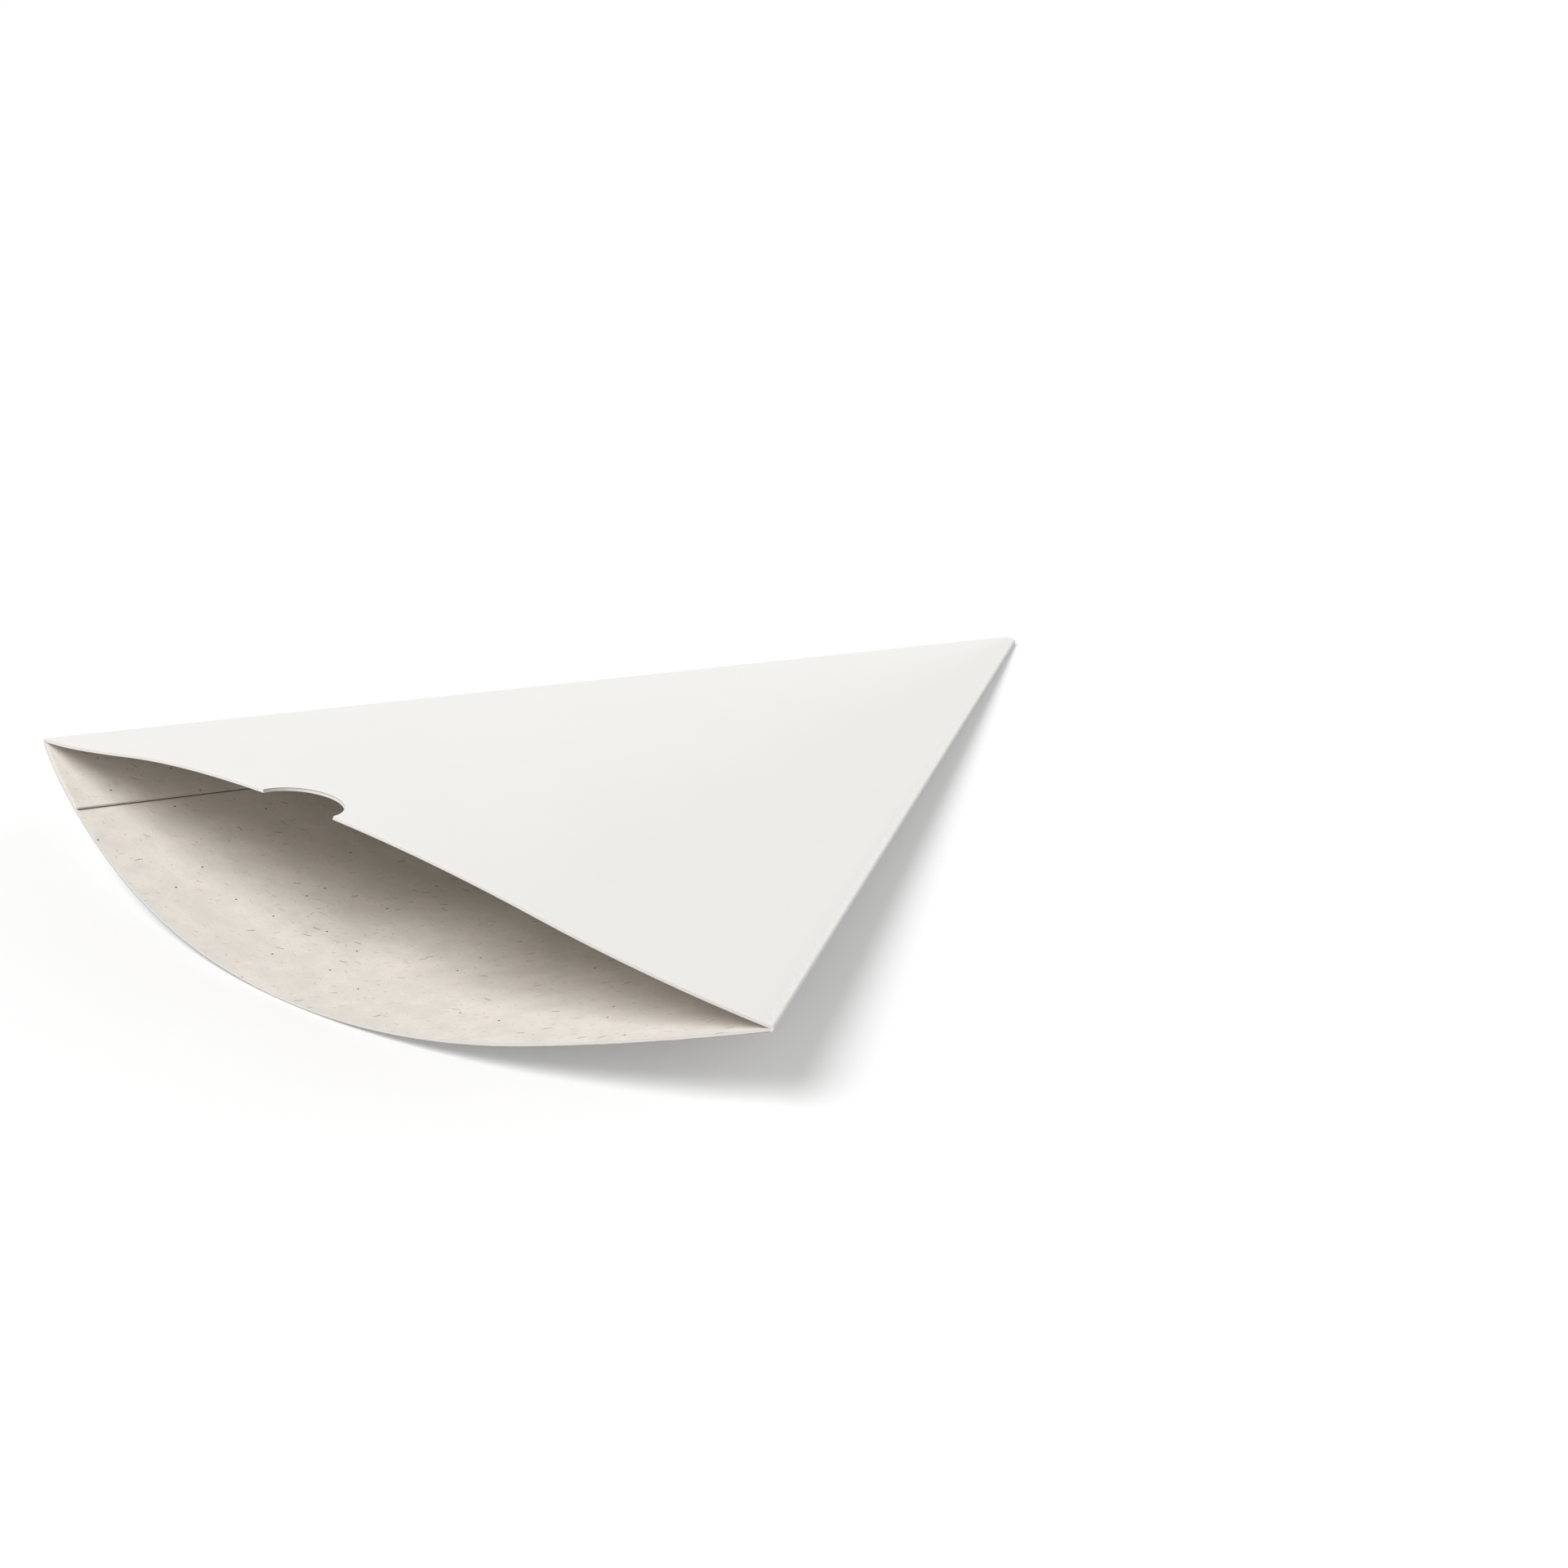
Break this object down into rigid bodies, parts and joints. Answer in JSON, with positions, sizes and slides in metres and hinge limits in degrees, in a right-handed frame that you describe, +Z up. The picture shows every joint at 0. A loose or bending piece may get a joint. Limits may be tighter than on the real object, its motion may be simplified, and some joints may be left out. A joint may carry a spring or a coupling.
{
  "type": "snack cone",
  "caption": "Folded board cone for fries or snacks, lying open: two bowed panels joined by two folds, a thumb notch in the rim and a glued flap inside.",
  "frame": {"origin": "centre of the bounding box on the surface that the cone lies on", "axes": "+Y runs along the cone from the mouth to the tip, +Z is up from the surface, and the mouth is 137 mm wide along X"},
  "size_m": [0.138, 0.2084, 0.0298],
  "materials": {
    "board": "warm white coated outside with a small satin sheen, matt grey-beige recycled board inside"
  },
  "bodies": {
    "root": {"folded_cone": "board"}
  },
  "joints": []
}
